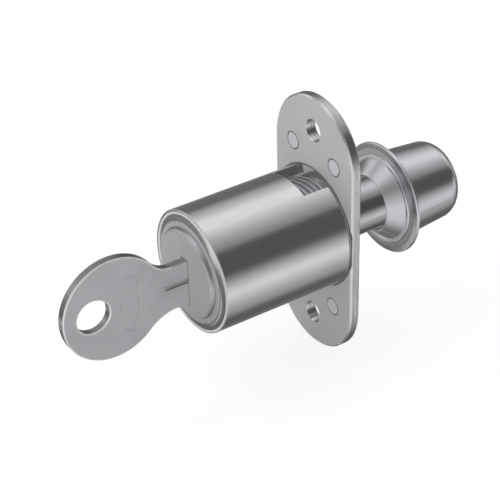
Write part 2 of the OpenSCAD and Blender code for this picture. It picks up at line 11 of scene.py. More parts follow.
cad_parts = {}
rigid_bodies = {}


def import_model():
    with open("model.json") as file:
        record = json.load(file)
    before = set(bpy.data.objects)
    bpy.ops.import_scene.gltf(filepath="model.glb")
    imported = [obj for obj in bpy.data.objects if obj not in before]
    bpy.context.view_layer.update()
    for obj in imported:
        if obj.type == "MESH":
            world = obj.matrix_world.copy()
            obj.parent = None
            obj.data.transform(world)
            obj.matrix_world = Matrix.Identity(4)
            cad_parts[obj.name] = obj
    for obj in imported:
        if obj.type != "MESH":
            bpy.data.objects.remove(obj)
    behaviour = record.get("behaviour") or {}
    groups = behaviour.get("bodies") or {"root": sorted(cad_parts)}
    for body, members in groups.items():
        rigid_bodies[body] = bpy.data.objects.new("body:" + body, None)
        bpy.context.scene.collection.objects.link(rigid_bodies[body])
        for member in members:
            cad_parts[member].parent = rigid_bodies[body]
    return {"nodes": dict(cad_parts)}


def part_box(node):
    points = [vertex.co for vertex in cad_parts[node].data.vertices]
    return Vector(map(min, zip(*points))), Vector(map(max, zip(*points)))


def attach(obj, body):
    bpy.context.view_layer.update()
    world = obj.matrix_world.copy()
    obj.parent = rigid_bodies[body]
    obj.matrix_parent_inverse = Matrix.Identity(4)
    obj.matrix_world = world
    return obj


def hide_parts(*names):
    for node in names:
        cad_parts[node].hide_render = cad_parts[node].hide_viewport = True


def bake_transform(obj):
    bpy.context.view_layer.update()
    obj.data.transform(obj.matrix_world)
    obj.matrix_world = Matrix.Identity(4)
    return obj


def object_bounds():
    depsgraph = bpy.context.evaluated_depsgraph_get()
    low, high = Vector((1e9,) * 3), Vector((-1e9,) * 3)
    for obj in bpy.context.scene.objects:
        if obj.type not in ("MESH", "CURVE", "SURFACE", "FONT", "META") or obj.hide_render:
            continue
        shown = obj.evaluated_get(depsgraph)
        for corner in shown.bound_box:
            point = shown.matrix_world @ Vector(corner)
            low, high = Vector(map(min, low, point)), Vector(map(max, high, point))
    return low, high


bl_info = {
    "name": "Sliding door lock scene",
    "version": (1, 0, 0),
    "blender": (4, 5, 0),
    "location": "3D View > Sidebar > Door Lock",
    "description": "Dresses the parts of a sliding door lock and sets up a soft studio around them",
    "category": "Object",
}

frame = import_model()
NODES = frame["nodes"]
CAD_BOX = [list(corner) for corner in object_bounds()]

# Units of length, in metres
MM = 0.001
MICRON = 0.000001


def node_box(name):
    """Lowest and highest corner of one part of the frame, as arrays in metres."""
    low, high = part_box(name)
    return np.array(low), np.array(high)


def front_of(name):
    """Where a part ends along the lock's axis on the key's side."""
    return float(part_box(name)[0][1])


def half_width(name):
    """Half the width of a part that lies evenly about the axis: a round part's radius."""
    return float(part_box(name)[1][0])


# Radii of the round parts; the frame's boxes don't show the barrel's wall or one rivet's size
BARREL_R = half_width("housing")
BARREL_WALL = 1.85 * MM
BORE_R = BARREL_R - BARREL_WALL
SLEEVE_R = half_width("cylinder_sleeve")
PLUG_R = half_width("plug")
RIVET_END_R = 1.6 * MM

# Places along the axis: the flange's two faces, where its flush rivets end, and the barrel's rim
FLANGE_FRONT = front_of("flange_rivets")
FLANGE_REAR = float(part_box("flange_rivets")[1][1])
BARREL_FRONT = front_of("housing")
PLUG_FACE = front_of("plug")

# How far the rim's outer edge lies behind its inner edge
RIM_SLOPE = 0.25 * MM

# How metallic the duller finishes are: matt plate, the cast flange and the barrel's bore
MATT_METALLIC = 0.8
FACE_METALLIC = 0.25
BORE_METALLIC = 0.5

# Grain of the finishes that several pieces share: its scale, and its height in metres
POLISHED_GRAIN = (3000.0, 0.8 * MICRON)
SATIN_GRAIN = (5200.0, 3.5 * MICRON)


# Settings


class LockFinishes(bpy.types.PropertyGroup):
    """Colours and surface qualities of the metals."""

    nickel_color: bpy.props.FloatVectorProperty(
        name="Nickel", description="Colour of the polished nickel plate",
        subtype="COLOR", size=4, min=0, max=1, default=(0.61, 0.615, 0.63, 1))
    satin_color: bpy.props.FloatVectorProperty(
        name="Satin nickel", description="Colour of the matt nickel plate",
        subtype="COLOR", size=4, min=0, max=1, default=(0.55, 0.555, 0.575, 1))
    face_color: bpy.props.FloatVectorProperty(
        name="Cylinder face", description="Colour of the matt plate of plug and sleeve",
        subtype="COLOR", size=4, min=0, max=1, default=(0.45, 0.455, 0.47, 1))
    steel_color: bpy.props.FloatVectorProperty(
        name="Steel", description="Colour of the plain steel parts",
        subtype="COLOR", size=4, min=0, max=1, default=(0.48, 0.485, 0.5, 1))
    wire_color: bpy.props.FloatVectorProperty(
        name="Spring wire", description="Colour of the drawn spring wire",
        subtype="COLOR", size=4, min=0, max=1, default=(0.33, 0.335, 0.35, 1))
    key_color: bpy.props.FloatVectorProperty(
        name="Key", description="Colour of the tumbled key",
        subtype="COLOR", size=4, min=0, max=1, default=(0.42, 0.425, 0.44, 1))
    # Edge colour: lighter where edges are rubbed, and a painted highlight along them
    edge_highlight_color: bpy.props.FloatVectorProperty(
        name="Rubbed and highlit edges", description="Colour of edges rubbed bright",
        subtype="COLOR", size=4, min=0, max=1, default=(0.86, 0.86, 0.88, 1))
    brass_color: bpy.props.FloatVectorProperty(
        name="Brass", description="Colour of the stamped brass wafers",
        subtype="COLOR", size=4, min=0, max=1, default=(0.74, 0.57, 0.27, 1))
    polish: bpy.props.FloatProperty(
        name="Polished roughness", description="Roughness of the polished nickel",
        min=0.02, max=0.6, default=0.15)
    satin: bpy.props.FloatProperty(
        name="Satin roughness", description="Roughness of the matt nickel",
        min=0.1, max=0.8, default=0.34)
    edge_round: bpy.props.FloatProperty(
        name="Edge rounding", description="Radius that worn edges seem to have",
        subtype="DISTANCE", unit="LENGTH", min=0, max=0.001, default=0.00016)
    # How far edges take on that colour, which paints their highlight
    edge_shine: bpy.props.FloatProperty(
        name="Edge shine", description="How far rubbed edges take on their colour",
        min=0, max=1, default=0.75)
    rim_round: bpy.props.FloatProperty(
        name="Rim rounding", description="Rounding of the barrel's outer front edge",
        subtype="DISTANCE", unit="LENGTH", min=0, max=0.0006, default=0.00028)
    key_round: bpy.props.FloatProperty(
        name="Key rounding", description="Radius that tumbling gave the key's edges",
        subtype="DISTANCE", unit="LENGTH", min=0, max=0.0004, default=0.00022)
    handling: bpy.props.FloatProperty(
        name="Handling marks", description="Strength of smudges and hairlines",
        min=0, max=1, default=0.4)


class LockSprings(bpy.types.PropertyGroup):
    """Sizes of the wound springs; their places come from the frame."""

    return_wire: bpy.props.FloatProperty(
        name="Return spring wire", description="Wire diameter of the return spring",
        subtype="DISTANCE", unit="LENGTH", min=0.0003, max=0.001, default=0.0006)
    return_turns: bpy.props.FloatProperty(
        name="Return spring turns", description="Number of turns of the return spring",
        min=2, max=8, default=4.25)
    dog_wire: bpy.props.FloatProperty(
        name="Dog spring wire", description="Wire diameter of the latch dog's spring",
        subtype="DISTANCE", unit="LENGTH", min=0.0001, max=0.0005, default=0.00025)
    dog_turns: bpy.props.FloatProperty(
        name="Dog spring turns", description="Number of turns of the latch dog's spring",
        min=2, max=12, default=6)
    wafer_wire: bpy.props.FloatProperty(
        name="Wafer spring wire", description="Wire diameter of the wafers' springs",
        subtype="DISTANCE", unit="LENGTH", min=0.0001, max=0.0003, default=0.0002)
    wafer_turns: bpy.props.FloatProperty(
        name="Wafer spring turns", description="Number of turns of each wafer spring",
        min=2, max=8, default=4)


class LockStudio(bpy.types.PropertyGroup):
    """Camera, floor and light around the lock."""

    turn: bpy.props.FloatProperty(
        name="Camera turn", description="Angle of the camera round the lock",
        subtype="ANGLE", unit="ROTATION", default=math.radians(55.48))
    rise: bpy.props.FloatProperty(
        name="Camera rise", description="Angle of the camera above the horizon",
        subtype="ANGLE", unit="ROTATION", default=math.radians(32.82))
    roll: bpy.props.FloatProperty(
        name="Camera roll", description="Tilt of the picture",
        subtype="ANGLE", unit="ROTATION", default=math.radians(-0.825))
    distance: bpy.props.FloatProperty(
        name="Camera distance", description="Distance from the camera to the aimed point",
        subtype="DISTANCE", unit="LENGTH", min=0.1, default=0.288)
    aim: bpy.props.FloatVectorProperty(
        name="Aimed point", description="Point of the lock that the camera is set up for",
        subtype="TRANSLATION", unit="LENGTH", size=3, default=(0, -0.008, 0))
    off_centre: bpy.props.FloatVectorProperty(
        name="Off centre", description="How far right of and above the middle that point "
        "appears, as a share of its distance",
        size=2, default=(0.015465, 0.00668))
    lens: bpy.props.FloatProperty(
        name="Lens", description="Focal length for a sensor 36 mm wide",
        subtype="DISTANCE_CAMERA", min=20, default=119.65)
    floor_drop: bpy.props.FloatProperty(
        name="Floor drop", description="Room between the lock's lowest point and the floor",
        subtype="DISTANCE", unit="LENGTH", min=0, default=0.0)
    floor_color: bpy.props.FloatVectorProperty(
        name="Floor", description="Colour of the floor",
        subtype="COLOR", size=4, min=0, max=1, default=(0.9, 0.9, 0.9, 1))
    shadow_lift: bpy.props.FloatProperty(
        name="Shadow lift", description="Share of the shadow that the backdrop's white hides",
        subtype="FACTOR", min=0, max=1, default=0.85)
    room_light: bpy.props.FloatProperty(
        name="Room light", description="Level of the even light", min=0, default=1.0)
    lamp_power: bpy.props.FloatProperty(
        name="Lamp power", description="Power of the large soft lamp",
        subtype="POWER", unit="POWER", min=0, default=2.0)


# Node helpers


def put(tree, kind, inputs=(), **settings):
    """Adds one node; inputs maps socket names or numbers to values or to outputs to link."""
    node = tree.nodes.new(kind)
    for key, value in settings.items():
        setattr(node, key, value)
    for key, value in dict(inputs).items():
        if isinstance(value, bpy.types.NodeSocket):
            tree.links.new(value, node.inputs[key])
        else:
            node.inputs[key].default_value = value
    return node


def grouped(tree, group, inputs):
    """Places a node group with its inputs, and gives its outputs."""
    return put(tree, "ShaderNodeGroup", inputs, node_tree=group).outputs


def bare_tree(owner):
    """Node tree of a new material or world, emptied."""
    owner.use_nodes = True
    owner.node_tree.nodes.clear()
    return owner.node_tree


def calc(tree, operation, a, b=0.0):
    """Output of a math node on two values or outputs."""
    return put(tree, "ShaderNodeMath", {0: a, 1: b}, operation=operation).outputs[0]


def product(tree, a, b):
    """Output of a times b."""
    return calc(tree, "MULTIPLY", a, b)


def with_share(tree, base, output, share):
    """Output of the base plus a share of another output."""
    return calc(tree, "ADD", base, product(tree, output, share))


def apart(tree, value, middle):
    """Output of how far a value lies from a fixed middle."""
    return calc(tree, "ABSOLUTE", calc(tree, "SUBTRACT", value, middle))


def blended(tree, factor, a, b):
    """Output that goes from the number a to the number b with the factor."""
    return put(tree, "ShaderNodeMix", {0: factor, 2: a, 3: b}, data_type="FLOAT").outputs[0]


def blended_color(tree, factor, a, b, blend_type="MIX"):
    """Colour output that goes from a to b with the factor, or to a times b for MULTIPLY."""
    node = put(tree, "ShaderNodeMix", {0: factor, 6: a, 7: b}, data_type="RGBA",
               blend_type=blend_type)
    return node.outputs[2]


def stepped(tree, value, low, high, to_low=0.0, to_high=1.0):
    """Output of a smooth step from to_low to to_high while the value goes from low to high."""
    node = put(tree, "ShaderNodeMapRange", {0: value, 1: low, 2: high, 3: to_low, 4: to_high},
               interpolation_type="SMOOTHSTEP")
    return node.outputs[0]


def above(tree, value, limit, soft):
    """Mask output that rises from 0 at the limit to 1 behind a soft border."""
    return stepped(tree, value, limit, limit + soft)


def below(tree, value, limit, soft):
    """Mask output that falls from 1 at the limit to 0 behind a soft border."""
    return stepped(tree, value, limit, limit + soft, 1.0, 0.0)


# Shared effects

NUMBER = "NodeSocketFloat"
VECTOR = "NodeSocketVector"


def effect(name, inputs, outputs, build):
    """Shader node group with named sockets, built once: build(tree, source) gives its outputs."""
    found = bpy.data.node_groups.get(name)
    if found:
        return found
    tree = bpy.data.node_groups.new(name, "ShaderNodeTree")
    for label, kind, default in inputs:
        socket = tree.interface.new_socket(name=label, in_out="INPUT", socket_type=kind)
        socket.default_value = default
    for label in outputs:
        tree.interface.new_socket(name=label, in_out="OUTPUT", socket_type=NUMBER)
    source = tree.nodes.new("NodeGroupInput")
    sink = tree.nodes.new("NodeGroupOutput")
    for label, result in zip(outputs, build(tree, source.outputs)):
        tree.links.new(result, sink.inputs[label])
    return tree


def grain_effect():
    """Fine grain of a cast or plated face: two sizes of noise blended."""
    def build(tree, source):
        fine = put(tree, "ShaderNodeTexNoise", {
            "Vector": source["Vector"], "Scale": source["Scale"], "Detail": 3.0, "Roughness": 0.6})
        coarse_scale = product(tree, source["Scale"], 0.21)
        coarse = put(tree, "ShaderNodeTexNoise", {
            "Vector": source["Vector"], "Scale": coarse_scale, "Detail": 2.0})
        coarse_share = 0.35
        return [blended(tree, coarse_share, fine.outputs[0], coarse.outputs[0])]
    return effect("Fine grain", [("Vector", VECTOR, (0, 0, 0)), ("Scale", NUMBER, 4000.0)],
                  ["Grain"], build)


def streak_effect():
    """Brushed streaks: noise squeezed hard across one direction."""
    def build(tree, source):
        squeezed = put(tree, "ShaderNodeVectorMath", {
            0: source["Vector"], 1: source["Stretch"]}, operation="MULTIPLY")
        noise = put(tree, "ShaderNodeTexNoise", {
            "Vector": squeezed.outputs[0], "Scale": 1.0, "Detail": 4.0, "Roughness": 0.65})
        return [stepped(tree, noise.outputs[0], 0.3, 0.7)]
    return effect("Brushed streaks", [
        ("Vector", VECTOR, (0, 0, 0)), ("Stretch", VECTOR, (8000, 400, 400))],
        ["Streaks"], build)


def marks_effect():
    """Marks of handling: soft smudges, and sparse hairlines along the edges of stretched cells."""
    def build(tree, source):
        place, scale, amount = source["Vector"], source["Scale"], source["Amount"]
        cloud = put(tree, "ShaderNodeTexNoise", {
            "Vector": place, "Scale": scale, "Detail": 3.0, "Distortion": 0.4})
        smudges = stepped(tree, cloud.outputs[0], 0.42, 0.68)
        turned = put(tree, "ShaderNodeMapping", {
            "Vector": place, "Rotation": (0.5, 0.9, 0.35), "Scale": (1.0, 0.16, 0.4)})
        cells = put(tree, "ShaderNodeTexVoronoi", {
            "Vector": turned.outputs[0], "Scale": product(tree, scale, 9.0)},
            feature="DISTANCE_TO_EDGE")
        line_width = 0.012
        line = below(tree, cells.outputs[0], 0.0, line_width)
        patch = put(tree, "ShaderNodeTexNoise", {
            "Vector": place, "Scale": product(tree, scale, 2.3)})
        hairlines = product(tree, line, stepped(tree, patch.outputs[0], 0.55, 0.68))
        return [product(tree, smudges, amount), product(tree, hairlines, amount)]
    return effect("Handling marks", [
        ("Vector", VECTOR, (0, 0, 0)), ("Scale", NUMBER, 120.0), ("Amount", NUMBER, 0.5)],
        ["Smudges", "Hairlines"], build)


def band_effect():
    """Mask that is 1 where a coordinate lies between two limits, with soft borders."""
    def build(tree, source):
        value, low, high, soft = (source[name] for name in ("Value", "Low", "High", "Soft"))
        rising = stepped(tree, value, calc(tree, "SUBTRACT", low, soft), low)
        falling = stepped(tree, value, high, calc(tree, "ADD", high, soft), 1.0, 0.0)
        return [product(tree, rising, falling)]
    return effect("Band mask", [
        ("Value", NUMBER, 0.0), ("Low", NUMBER, 0.0), ("High", NUMBER, 1.0),
        ("Soft", NUMBER, 0.0001)], ["Mask"], build)


def edge_highlight_effect():
    """Mask of rubbed edges and their painted highlight: how far the rounded normal turns away from
    the face's own normal.
    """
    def build(tree, source):
        flat = put(tree, "ShaderNodeNewGeometry").outputs["Normal"]
        cosine = put(tree, "ShaderNodeVectorMath", {
            0: source["Rounded"], 1: flat}, operation="DOT_PRODUCT").outputs["Value"]
        return [stepped(tree, cosine, 0.8, 0.985, 1.0, 0.0)]
    return effect("Rubbed and highlit edges", [("Rounded", VECTOR, (0, 0, 0))], ["Edges"], build)


def within(tree, value, low, high, soft):
    """Mask output of the band effect for one value and its limits."""
    return grouped(tree, band_effect(), {
        "Value": value, "Low": low, "High": high, "Soft": soft})[0]


def streaked(tree, place, stretch):
    """Output of the brushed streaks, squeezed by the three numbers of stretch."""
    return grouped(tree, streak_effect(), {"Vector": place, "Stretch": stretch})[0]


# Metals

# Handling marks on every metal: their scale, and what smudges and hairlines add to the surface
MARK_SCALE = 110.0
SMUDGE_ROUGHNESS = 0.1
SMUDGE_SHADE = -0.07
HAIRLINE_ROUGHNESS = 0.12
HAIRLINE_HEIGHT = -1.2 * MICRON


class Surface(NamedTuple):
    """Outputs that a zone reads: the place on the piece, its parts, the grain and the smudges."""

    place: object
    x: object
    y: object
    z: object
    grain: object
    smudges: object


class Zone(NamedTuple):
    """Part of a surface with a finish of its own: its mask, and the values used inside it."""

    mask: object
    rough: object
    height: object = 0.0
    shade: object = 1.0
    metallic: object = 1.0


def metal(name, color, roughness, grain, streaks=None, marks=1.0, edge=1.0, metallic=1.0,
          zones=()):
    """A metal with grain, brushing and handling marks; rounded edges come from the Bevel node, and
    their lighter colour is partly wear and partly a painted highlight.

    grain is (scale, height in metres) and streaks is (stretch, height, roughness change). marks
    and edge are shares of the handling marks and of the edges' rounding. Each of the zones is a
    function of the tree and its Surface that gives a Zone.
    """
    found = bpy.data.materials.get(name)
    if found:
        return found
    finishes = finish_settings()
    material = bpy.data.materials.new(name)
    tree = bare_tree(material)
    place = put(tree, "ShaderNodeTexCoord").outputs["Object"]
    grain_scale, grain_height = grain
    speckle = grouped(tree, grain_effect(), {"Vector": place, "Scale": grain_scale})[0]
    smudges, hairlines = grouped(tree, marks_effect(), {
        "Vector": place, "Scale": MARK_SCALE, "Amount": finishes.handling * marks})
    rough = with_share(tree, roughness, smudges, SMUDGE_ROUGHNESS)
    height = product(tree, speckle, grain_height)
    shade = with_share(tree, 1.0, smudges, SMUDGE_SHADE)
    if streaks:
        stretch, deep, change = streaks
        brushed = streaked(tree, place, stretch)
        height = with_share(tree, height, brushed, deep)
        rough = with_share(tree, rough, brushed, change)
    parts = put(tree, "ShaderNodeSeparateXYZ", {0: place}).outputs
    at = Surface(place, *parts, speckle, smudges)
    for zone in zones:
        there = zone(tree, at)
        rough = blended(tree, there.mask, rough, there.rough)
        height = blended(tree, there.mask, height, there.height)
        shade = blended(tree, there.mask, shade, there.shade)
        metallic = blended(tree, there.mask, metallic, there.metallic)
    height = with_share(tree, height, hairlines, HAIRLINE_HEIGHT)
    rough = with_share(tree, rough, hairlines, HAIRLINE_ROUGHNESS)
    rounded = put(tree, "ShaderNodeBevel", {"Radius": finishes.edge_round * edge}, samples=8)
    # Mask of the edges, where wear and a painted highlight lighten the colour
    edges = grouped(tree, edge_highlight_effect(), {"Rounded": rounded.outputs[0]})[0]
    shaded = blended_color(tree, 1.0, color, shade, "MULTIPLY")
    rubbed = blended_color(tree, product(tree, edges, finishes.edge_shine), shaded,
                           finishes.edge_highlight_color)
    bump = put(tree, "ShaderNodeBump", {
        "Strength": 1.0, "Distance": 1.0, "Height": height, "Normal": rounded.outputs[0]})
    shader = put(tree, "ShaderNodeBsdfPrincipled", {
        "Base Color": rubbed, "Metallic": metallic, "Roughness": rough,
        "Normal": bump.outputs[0]})
    put(tree, "ShaderNodeOutputMaterial", {"Surface": shader.outputs[0]})
    return material


def finish_settings():
    """The metals' settings of the current scene."""
    return bpy.context.scene.lock_finishes


def from_axis(tree, at, across=0.0, upward=0.0):
    """Distance output from the lock's axis, or from an axis beside it, folded onto one quarter."""
    x, z = at.x, at.z
    if across or upward:
        x = calc(tree, "SUBTRACT", calc(tree, "ABSOLUTE", x), across)
        z = calc(tree, "SUBTRACT", calc(tree, "ABSOLUTE", z), upward)
    return calc(tree, "SQRT", calc(tree, "ADD", product(tree, x, x), product(tree, z, z)))


def blade_box():
    """Lowest and highest corner of the part of the key that is inside the plug."""
    points = mesh_points(NODES["key"].data)
    inside = points[points[:, 1] > PLUG_FACE + 0.1 * MM]
    return inside.min(0), inside.max(0)


def polished_nickel():
    """Bright nickel plate of the plunger."""
    look = finish_settings()
    return metal("Polished nickel plate", look.steel_color, look.polish, POLISHED_GRAIN)


def pressed_nickel():
    """Nickel plate over the drawn sheet of the strike, softer on its flat flange."""
    look = finish_settings()
    front = front_of("strike_cup")
    guide_r = half_width("strike_guide")

    def flange(tree, at):
        """The flange's front face."""
        ahead = below(tree, at.y, front + 0.05 * MM, 0.05 * MM)
        outside = above(tree, from_axis(tree, at), guide_r, 0.2 * MM)
        return Zone(product(tree, ahead, outside), rough=0.3, shade=0.88,
                    height=product(tree, at.grain, 3 * MICRON), metallic=MATT_METALLIC)

    return metal("Pressed nickel plate", look.satin_color, look.polish + 0.06,
                 (2600.0, 1.4 * MICRON), zones=[flange])


def satin_nickel():
    """Matt nickel plate of the plug, with painted shade where the keyway leaves the blade some
    room.
    """
    look = finish_settings()
    low, high = blade_box()
    middle, half = (low + high) / 2, (high - low) / 2
    keyway_room = 0.2 * MM

    def keyway(tree, at):
        """Painted shade: a dark line in the gap round the blade."""
        over = [below(tree, apart(tree, value, float(middle[axis])),
                      float(half[axis]) + keyway_room, 0.1 * MM)
                for axis, value in ((0, at.x), (2, at.z))]
        return Zone(product(tree, *over), rough=0.4, shade=0.3)

    return metal("Satin nickel plate", look.face_color, look.satin, SATIN_GRAIN,
                 metallic=MATT_METALLIC, zones=[keyway])


def sleeve_nickel():
    """Nickel plate of the sleeve: matt on its face, darker and duller where it slides, with painted
    shade where the plug meets the face.
    """
    look = finish_settings()
    front = front_of("cylinder_sleeve")

    def bearing(tree, at):
        """The sleeve's outside behind its face."""
        return Zone(above(tree, at.y, front + 0.8 * MM, 0.4 * MM), rough=0.4, shade=0.62,
                    height=product(tree, at.grain, 2 * MICRON), metallic=MATT_METALLIC)

    def seam(tree, at):
        """Painted shade: a dark line in the gap where the plug meets the face."""
        mask = below(tree, from_axis(tree, at), PLUG_R + 0.2 * MM, 0.1 * MM)
        return Zone(mask, rough=0.5, shade=0.3)

    return metal("Sleeve nickel plate", look.face_color, look.satin, SATIN_GRAIN,
                 edge=1.5, metallic=MATT_METALLIC, zones=[bearing, seam])


def key_nickel():
    """Stamped and tumbled key metal, darker on its sheared sides, with painted shade in its milled
    groove.
    """
    look = finish_settings()
    low, high = node_box("key")
    middle, half = float(low[0] + high[0]) / 2, float(high[0] - low[0]) / 2
    blade_low, blade_high = blade_box()
    groove_z = float(blade_low[2] * 0.45 + blade_high[2] * 0.55)

    def sheared(tree, at):
        """The side between the two faces."""
        edge = half - look.key_round
        mask = below(tree, apart(tree, at.x, middle), edge - 0.04 * MM, 0.06 * MM)
        return Zone(mask, rough=0.24, shade=0.72, height=product(tree, at.grain, 5 * MICRON))

    def groove(tree, at):
        """Painted shade inside the milled groove, darkest along its borders."""
        sunk = below(tree, apart(tree, at.x, middle), half - 0.2 * MM, 0.15 * MM)
        off = apart(tree, at.z, groove_z)
        shade = blended(tree, above(tree, off, 0.2 * MM, 0.3 * MM), 0.75, 0.3)
        return Zone(product(tree, sunk, below(tree, off, 0.5 * MM, 0.1 * MM)), rough=0.35,
                    shade=shade)

    return metal("Tumbled key metal", look.key_color, 0.3, (3600.0, 3 * MICRON), marks=1.6,
                 edge=0.4, metallic=MATT_METALLIC, zones=[sheared, groove])


def edge_highlight_nickel():
    """Rubbed edge of the key, worn bright, with a painted highlight in its light colour."""
    look = finish_settings()
    return metal("Key edge with painted highlight", look.edge_highlight_color, 0.42, (3600.0, 1 * MICRON), marks=0.5,
                 edge=0.5)


def dull_steel():
    """Bare steel of the pins, the clip and the dog."""
    look = finish_settings()
    return metal("Dull steel", look.steel_color, 0.36, (6000.0, 3 * MICRON),
                 streaks=((900.0, 9000.0, 900.0), 1.5 * MICRON, 0.08))


def plate_steel():
    """Rolled steel sheet of the back plate, streaked along its length."""
    look = finish_settings()
    return metal("Rolled steel sheet", look.steel_color, 0.28, (4200.0, 1.8 * MICRON),
                 streaks=((7000.0, 700.0, 260.0), 2.5 * MICRON, 0.14))


def drawn_wire():
    """Bright drawn spring wire."""
    look = finish_settings()
    return metal("Drawn spring wire", look.wire_color, 0.3, (9000.0, 1 * MICRON), marks=0.6,
                 edge=0.0)


def stamped_brass():
    """Brass of the wafers, streaked by the stamping."""
    look = finish_settings()
    return metal("Stamped brass", look.brass_color, 0.3, (5000.0, 2 * MICRON),
                 streaks=((600.0, 9000.0, 600.0), 1.5 * MICRON, 0.06))


def rivet_seam(tree, at):
    """Dark seam round the rivets' flush ends: a ring about each axis, folded onto one quarter."""
    high = node_box("flange_rivets")[1]
    away = from_axis(tree, at, float(high[0]) - RIVET_END_R, float(high[2]) - RIVET_END_R)
    ring = within(tree, away, RIVET_END_R - 0.12 * MM, RIVET_END_R + 0.08 * MM, 0.08 * MM)
    return Zone(ring, rough=0.5, shade=0.3, metallic=MATT_METALLIC)


def rivet_steel():
    """Flush rivet ends, ground with the flange."""
    look = finish_settings()
    return metal("Ground rivet steel", look.satin_color, look.satin, SATIN_GRAIN, marks=0.8,
                 metallic=FACE_METALLIC, zones=[rivet_seam])


def housing_metal():
    """Plated die casting: polished barrel, matt flange face and streaked flange edge, with painted
    shade in its groove and gap.
    """
    look = finish_settings()

    def face(tree, at):
        """The flange with its cast, matt front face and rear."""
        front = within(tree, at.y, FLANGE_FRONT - 0.02 * MM, FLANGE_FRONT + 0.03 * MM, 0.02 * MM)
        behind = above(tree, at.y, FLANGE_FRONT + 0.4 * MM, 0.05 * MM)
        return Zone(calc(tree, "MAXIMUM", front, behind),
                    rough=with_share(tree, look.satin, at.smudges, 0.06),
                    height=product(tree, at.grain, 4 * MICRON),
                    shade=with_share(tree, 0.745, at.smudges, -0.05), metallic=FACE_METALLIC)

    def side(tree, at):
        """The flange's edge between its chamfers, streaked across by the trimming tool."""
        mask = within(tree, at.y, FLANGE_FRONT + 0.4 * MM, FLANGE_REAR - 0.1 * MM, 0.06 * MM)
        brushed = streaked(tree, at.place, (250.0, 3600.0, 250.0))
        return Zone(mask, rough=with_share(tree, 0.22, brushed, 0.14),
                    height=product(tree, brushed, 8 * MICRON),
                    shade=with_share(tree, 0.92, brushed, -0.3))

    def bore(tree, at):
        """The barrel's inside, as cast: dull where the slide doesn't polish it."""
        mask = below(tree, from_axis(tree, at), SLEEVE_R + 0.1 * MM, 0.2 * MM)
        return Zone(mask, rough=0.45, height=product(tree, at.grain, 4 * MICRON), shade=0.9,
                    metallic=BORE_METALLIC)

    def foot(tree, at):
        """Painted shade in the groove round the barrel's foot."""
        ring = within(tree, from_axis(tree, at), BARREL_R - 0.4 * MM, BARREL_R + 0.3 * MM,
                      0.1 * MM)
        near = within(tree, at.y, FLANGE_FRONT - 0.3 * MM, FLANGE_FRONT + 0.2 * MM, 0.1 * MM)
        return Zone(product(tree, ring, near), rough=0.5, shade=0.35)

    def mouth_gap_shade(tree, at):
        """Painted shade: the dark line in the gap between the sleeve's face and the barrel's rim.
        """
        ring = within(tree, from_axis(tree, at), BORE_R - 0.1 * MM, BORE_R + 0.18 * MM,
                      0.16 * MM)
        ahead = below(tree, at.y, BARREL_FRONT + 0.4 * MM, 0.1 * MM)
        return Zone(product(tree, ring, ahead), rough=0.3, shade=0.45)

    return metal("Plated die casting", look.nickel_color, look.polish, POLISHED_GRAIN,
                 zones=[face, side, bore, foot, mouth_gap_shade, rivet_seam])


def dress(node_names, material):
    """Gives the frame's parts their finish; their meshes stay as they are."""
    for name in node_names:
        slots = NODES[name].data.materials
        slots.clear()
        slots.append(material)


# Shapes

# Merging a frame part's triangles: points this near are one, and faces this level are one face
MERGE_DISTANCE = 2 * MICRON
LEVEL_ANGLE = math.radians(0.2)
SHARP_ANGLE = math.radians(28)


def smooth(mesh):
    """Shades every face of the mesh smooth."""
    mesh.polygons.foreach_set("use_smooth", np.ones(len(mesh.polygons), bool))


def linked_object(name, data):
    """New object in the scene."""
    thing = bpy.data.objects.new(name, data)
    bpy.context.scene.collection.objects.link(thing)
    return thing


def surface_object(name, points, faces, material):
    """New smooth mesh object from an array of points and an array of quads."""
    mesh = bpy.data.meshes.new(name)
    mesh.vertices.add(len(points))
    mesh.vertices.foreach_set("co", np.asarray(points, np.float32).ravel())
    loops = np.asarray(faces, np.int32)
    mesh.loops.add(loops.size)
    mesh.loops.foreach_set("vertex_index", loops.ravel())
    mesh.polygons.add(len(loops))
    mesh.polygons.foreach_set("loop_start", np.arange(0, loops.size, 4, dtype=np.int32))
    mesh.update(calc_edges=True)
    mesh.validate()
    smooth(mesh)
    mesh.materials.append(material)
    return linked_object(name, mesh)


def grid_faces(rows, columns):
    """Quads between neighbouring rows of points; each row is a closed ring of columns points."""
    i = np.arange(rows - 1)[:, None]
    j = np.arange(columns)[None, :]
    k = (j + 1) % columns
    quads = np.stack([i * columns + j, i * columns + k, (i + 1) * columns + k,
                      (i + 1) * columns + j], -1)
    return quads.reshape(-1, 4)


def merged_copy(node, name, material):
    """Copy of a frame part that can be shaped: its triangles merged and level ones joined."""
    mesh = NODES[node].data.copy()
    mesh.name = name
    if "custom_normal" in mesh.attributes:
        mesh.attributes.remove(mesh.attributes["custom_normal"])
    edit = bmesh.new()
    edit.from_mesh(mesh)
    bmesh.ops.remove_doubles(edit, verts=edit.verts, dist=MERGE_DISTANCE)
    bmesh.ops.dissolve_limit(edit, angle_limit=LEVEL_ANGLE, verts=edit.verts, edges=edit.edges)
    bmesh.ops.recalc_face_normals(edit, faces=edit.faces)
    edit.to_mesh(mesh)
    edit.free()
    smooth(mesh)
    mesh.set_sharp_from_angle(angle=SHARP_ANGLE)
    mesh.materials.clear()
    mesh.materials.append(material)
    return linked_object(name, mesh)


def mesh_points(mesh):
    """The mesh's vertices as an array."""
    flat = np.empty(len(mesh.vertices) * 3, np.float32)
    mesh.vertices.foreach_get("co", flat)
    return flat.reshape(-1, 3)


def edge_ends(mesh):
    """The two vertex numbers of each edge, as an array."""
    ends = np.empty(len(mesh.edges) * 2, np.int32)
    mesh.edges.foreach_get("vertices", ends)
    return ends.reshape(-1, 2)


